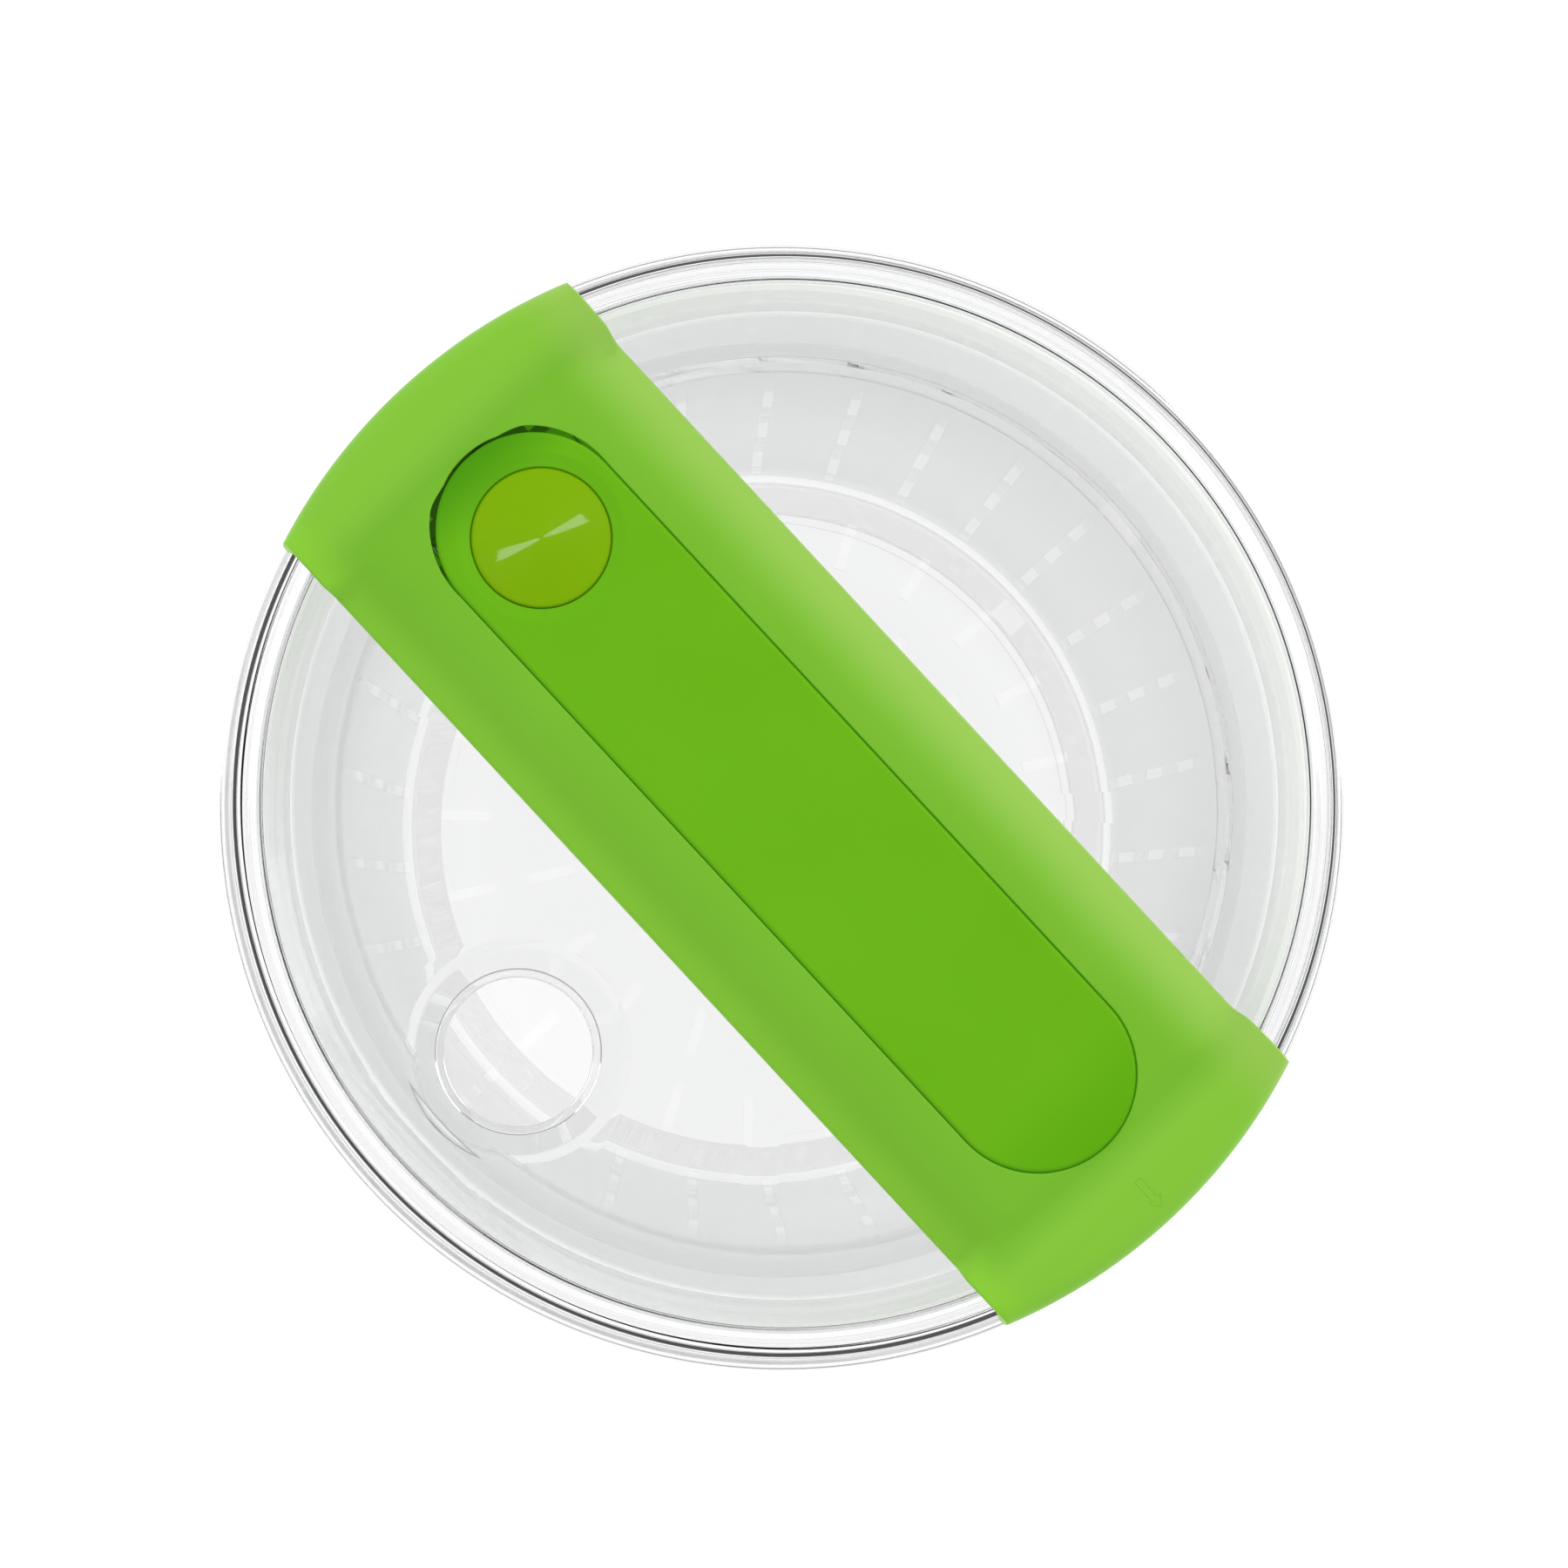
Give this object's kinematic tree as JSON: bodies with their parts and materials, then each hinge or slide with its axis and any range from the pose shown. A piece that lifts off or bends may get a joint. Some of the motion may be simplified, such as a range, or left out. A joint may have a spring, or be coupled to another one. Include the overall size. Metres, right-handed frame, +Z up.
{
  "type": "salad spinner",
  "caption": "Lever-pump salad spinner: clear bowl, strainer basket and lid with pour hole, green handle bar over the rim, long flush lever and brake button.",
  "frame": {"origin": "middle of the base ring's underside, on the axis the basket turns on", "axes": "+Z up; +X along the handle bar to the lever's free end, with the button on the -X side; the pour hole is on the -Y side"},
  "size_m": [0.26, 0.26, 0.173],
  "materials": {
    "clear_bowl": "clear, polished",
    "clear_basket": "clear, polished",
    "clear_lid": "clear, polished",
    "green_bar": "fine satin moulding, slightly translucent",
    "green_lever": "fine satin moulding",
    "lime_button": "glossy",
    "white_nylon": "moulded satin",
    "bearing_plastic": "smooth",
    "steel": "bright drawn wire and turned rod",
    "soft_ring": "translucent soft elastomer",
    "brake_rubber": "matt"
  },
  "bodies": {
    "bowl": {"bowl": "clear_bowl", "base_ring": "soft_ring", "pivot_pin": "steel"},
    "foot": {"pivot_foot": "white_nylon"},
    "basket": {"basket": "clear_basket", "basket_bush": "white_nylon"},
    "lid": {"lid": "clear_lid", "handle_bar": "green_bar", "gear_tray": "white_nylon", "tray_screws": "steel", "hinge_pin": "steel", "lever_spring": "steel", "transfer_axle": "steel", "spindle_bush": "bearing_plastic", "top_bush": "bearing_plastic"},
    "lever": {"lever_cover": "green_lever", "lever_core": "green_lever", "lever_sector": "white_nylon"},
    "button": {"button_cap": "lime_button", "button_stem": "white_nylon", "button_spring": "steel"},
    "brake": {"brake_slider": "white_nylon", "brake_pad": "brake_rubber", "brake_spring": "steel"},
    "rack": {"drive_rack": "white_nylon"},
    "transfer": {"transfer_gear": "white_nylon"},
    "clutch": {"clutch_gear": "white_nylon", "clutch_spring": "steel"},
    "driver": {"drive_shaft": "steel", "spindle_hub": "white_nylon", "shaft_clip": "steel", "driver_arm": "white_nylon", "driver_screw": "steel"}
  },
  "joints": [
    {"name": "basket_lift", "type": "slide", "parent": "bowl", "child": "foot", "axis": [0, 0, 1], "range_m": [0, 0.15]},
    {"name": "basket_spin", "type": "hinge", "parent": "foot", "child": "basket", "pos_m": [0, 0, 0.0187], "axis": [0, 0, 1], "continuous": true},
    {"name": "lid_lift", "type": "slide", "parent": "foot", "child": "lid", "axis": [0, 0, 1], "range_m": [0, 0.08]},
    {"name": "lever_hinge", "type": "hinge", "parent": "lid", "child": "lever", "pos_m": [-0.097, 0, 0.1614], "axis": [0, -1, 0], "range_deg": [0, 16]},
    {"name": "button_press", "type": "slide", "parent": "lever", "child": "button", "axis": [0, 0, -1], "range_m": [0, 0.0025], "stiffness_N_per_m": 900, "springref_m": -0.003, "deforming": ["button_spring"]},
    {"name": "brake_slide", "type": "slide", "parent": "lid", "child": "brake", "axis": [1, 0, 0], "range_m": [0, 0.0025]},
    {"name": "rack_slide", "type": "slide", "parent": "lid", "child": "rack", "axis": [1, 0, 0], "range_m": [0, 0.0046]},
    {"name": "transfer_spin", "type": "hinge", "parent": "lid", "child": "transfer", "pos_m": [-0.01761, 0.014, 0.155], "axis": [0, 0, 1], "range_deg": [0, 42]},
    {"name": "clutch_spin", "type": "hinge", "parent": "lid", "child": "clutch", "pos_m": [0, 0, 0.155], "axis": [0, 0, 1], "range_deg": [-109, 0]},
    {"name": "driver_spin", "type": "hinge", "parent": "lid", "child": "driver", "pos_m": [0, 0, 0.133], "axis": [0, 0, 1], "continuous": true}
  ],
  "couplings": [
    {"joint": "rack_slide", "follows": "lever_hinge", "m_per_rad": 0.01625},
    {"joint": "transfer_spin", "follows": "lever_hinge", "ratio": 2.6},
    {"joint": "clutch_spin", "follows": "lever_hinge", "ratio": -6.76},
    {"joint": "brake_slide", "follows": "button_press", "ratio": 1},
    {"joint": "driver_spin", "follows": "basket_spin", "ratio": 1}
  ]
}
